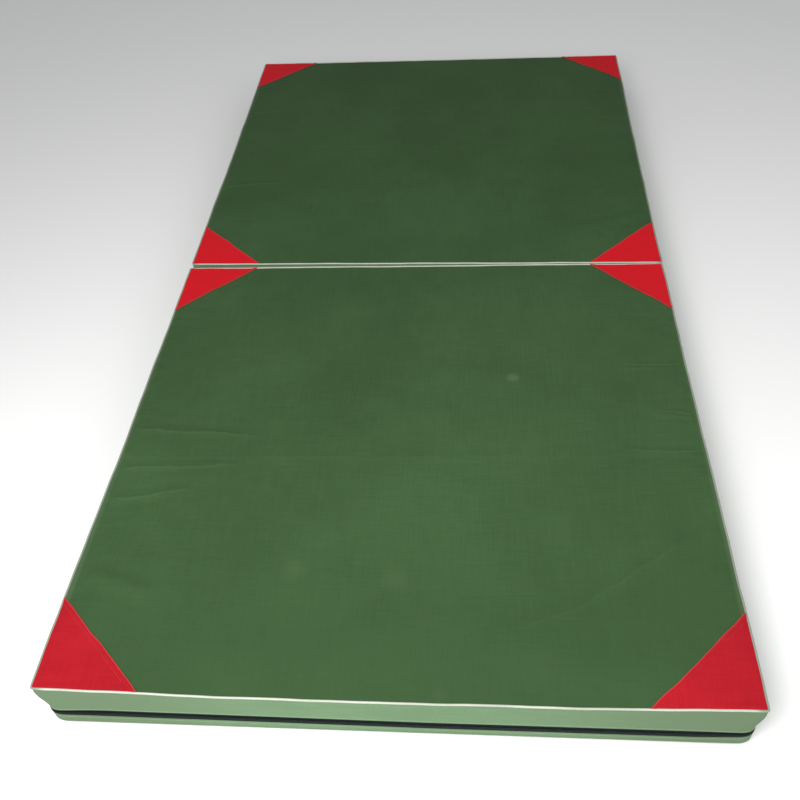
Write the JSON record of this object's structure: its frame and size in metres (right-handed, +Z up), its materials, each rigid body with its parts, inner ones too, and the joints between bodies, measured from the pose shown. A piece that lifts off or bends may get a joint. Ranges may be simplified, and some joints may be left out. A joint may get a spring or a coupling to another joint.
{
  "type": "folding gym mat",
  "caption": "Oblong padded gym mat that folds in half on a cloth hinge: green canvas covers with red corner patches, white piping and a zip round each half.",
  "frame": {"origin": "on the floor, at the middle of the unfolded mat, under the cloth hinge", "axes": "+X across the mat along the hinge, +Y from the near panel to the far panel, +Z up"},
  "size_m": [1.0076, 2.003, 0.1015],
  "materials": {
    "top_canvas": "matte",
    "patch_canvas": "matte",
    "side_canvas": "matte",
    "base_canvas": "matte",
    "piping_vinyl": "satin",
    "soft_foam": "matte",
    "firm_foam": "matte",
    "zip_tape": "matte",
    "zip_coil": "satin",
    "zip_metal": "satin"
  },
  "bodies": {
    "near_panel": {"near_top_sheet": "top_canvas", "near_patch_end_left": "patch_canvas", "near_patch_end_right": "patch_canvas", "near_patch_hinge_left": "patch_canvas", "near_patch_hinge_right": "patch_canvas", "near_piping": "piping_vinyl", "near_upper_band": "side_canvas", "near_lower_band": "side_canvas", "near_hinge_wall": "side_canvas", "near_bottom_sheet": "base_canvas", "near_foam_block": "soft_foam", "near_foam_sheet": "firm_foam", "near_zip_tape_upper": "zip_tape", "near_zip_tape_lower": "zip_tape", "near_zip_teeth_upper": "zip_coil", "near_zip_teeth_lower": "zip_coil", "near_zip_stops": "zip_metal", "hinge_strip": "side_canvas"},
    "far_panel": {"far_top_sheet": "top_canvas", "far_patch_end_left": "patch_canvas", "far_patch_end_right": "patch_canvas", "far_patch_hinge_left": "patch_canvas", "far_patch_hinge_right": "patch_canvas", "far_piping": "piping_vinyl", "far_upper_band": "side_canvas", "far_lower_band": "side_canvas", "far_hinge_wall": "side_canvas", "far_bottom_sheet": "base_canvas", "far_foam_block": "soft_foam", "far_foam_sheet": "firm_foam", "far_zip_tape_upper": "zip_tape", "far_zip_tape_lower": "zip_tape", "far_zip_teeth_upper": "zip_coil", "far_zip_teeth_lower": "zip_coil", "far_zip_stops": "zip_metal"},
    "near_slider": {"near_zip_slider": "zip_metal"},
    "near_pull_tab": {"near_zip_pull_tab": "zip_metal"},
    "far_slider": {"far_zip_slider": "zip_metal"},
    "far_pull_tab": {"far_zip_pull_tab": "zip_metal"}
  },
  "joints": [
    {"name": "fold", "type": "hinge", "parent": "near_panel", "child": "far_panel", "pos_m": [0, 0, 0.104], "axis": [1, 0, 0], "range_deg": [0, 180], "deforming": ["hinge_strip"]},
    {"name": "near_zip_slide", "type": "slide", "parent": "near_panel", "child": "near_slider", "axis": [0, -1, 0], "range_m": [0, 0.795]},
    {"name": "near_tab_swing", "type": "hinge", "parent": "near_slider", "child": "near_pull_tab", "pos_m": [-0.5028, -0.175, 0.033], "axis": [0, 0, 1], "range_deg": [0, 180]},
    {"name": "far_zip_slide", "type": "slide", "parent": "far_panel", "child": "far_slider", "axis": [0, 1, 0], "range_m": [0, 0.795]},
    {"name": "far_tab_swing", "type": "hinge", "parent": "far_slider", "child": "far_pull_tab", "pos_m": [0.5028, 0.175, 0.033], "axis": [0, 0, 1], "range_deg": [0, 180]}
  ]
}
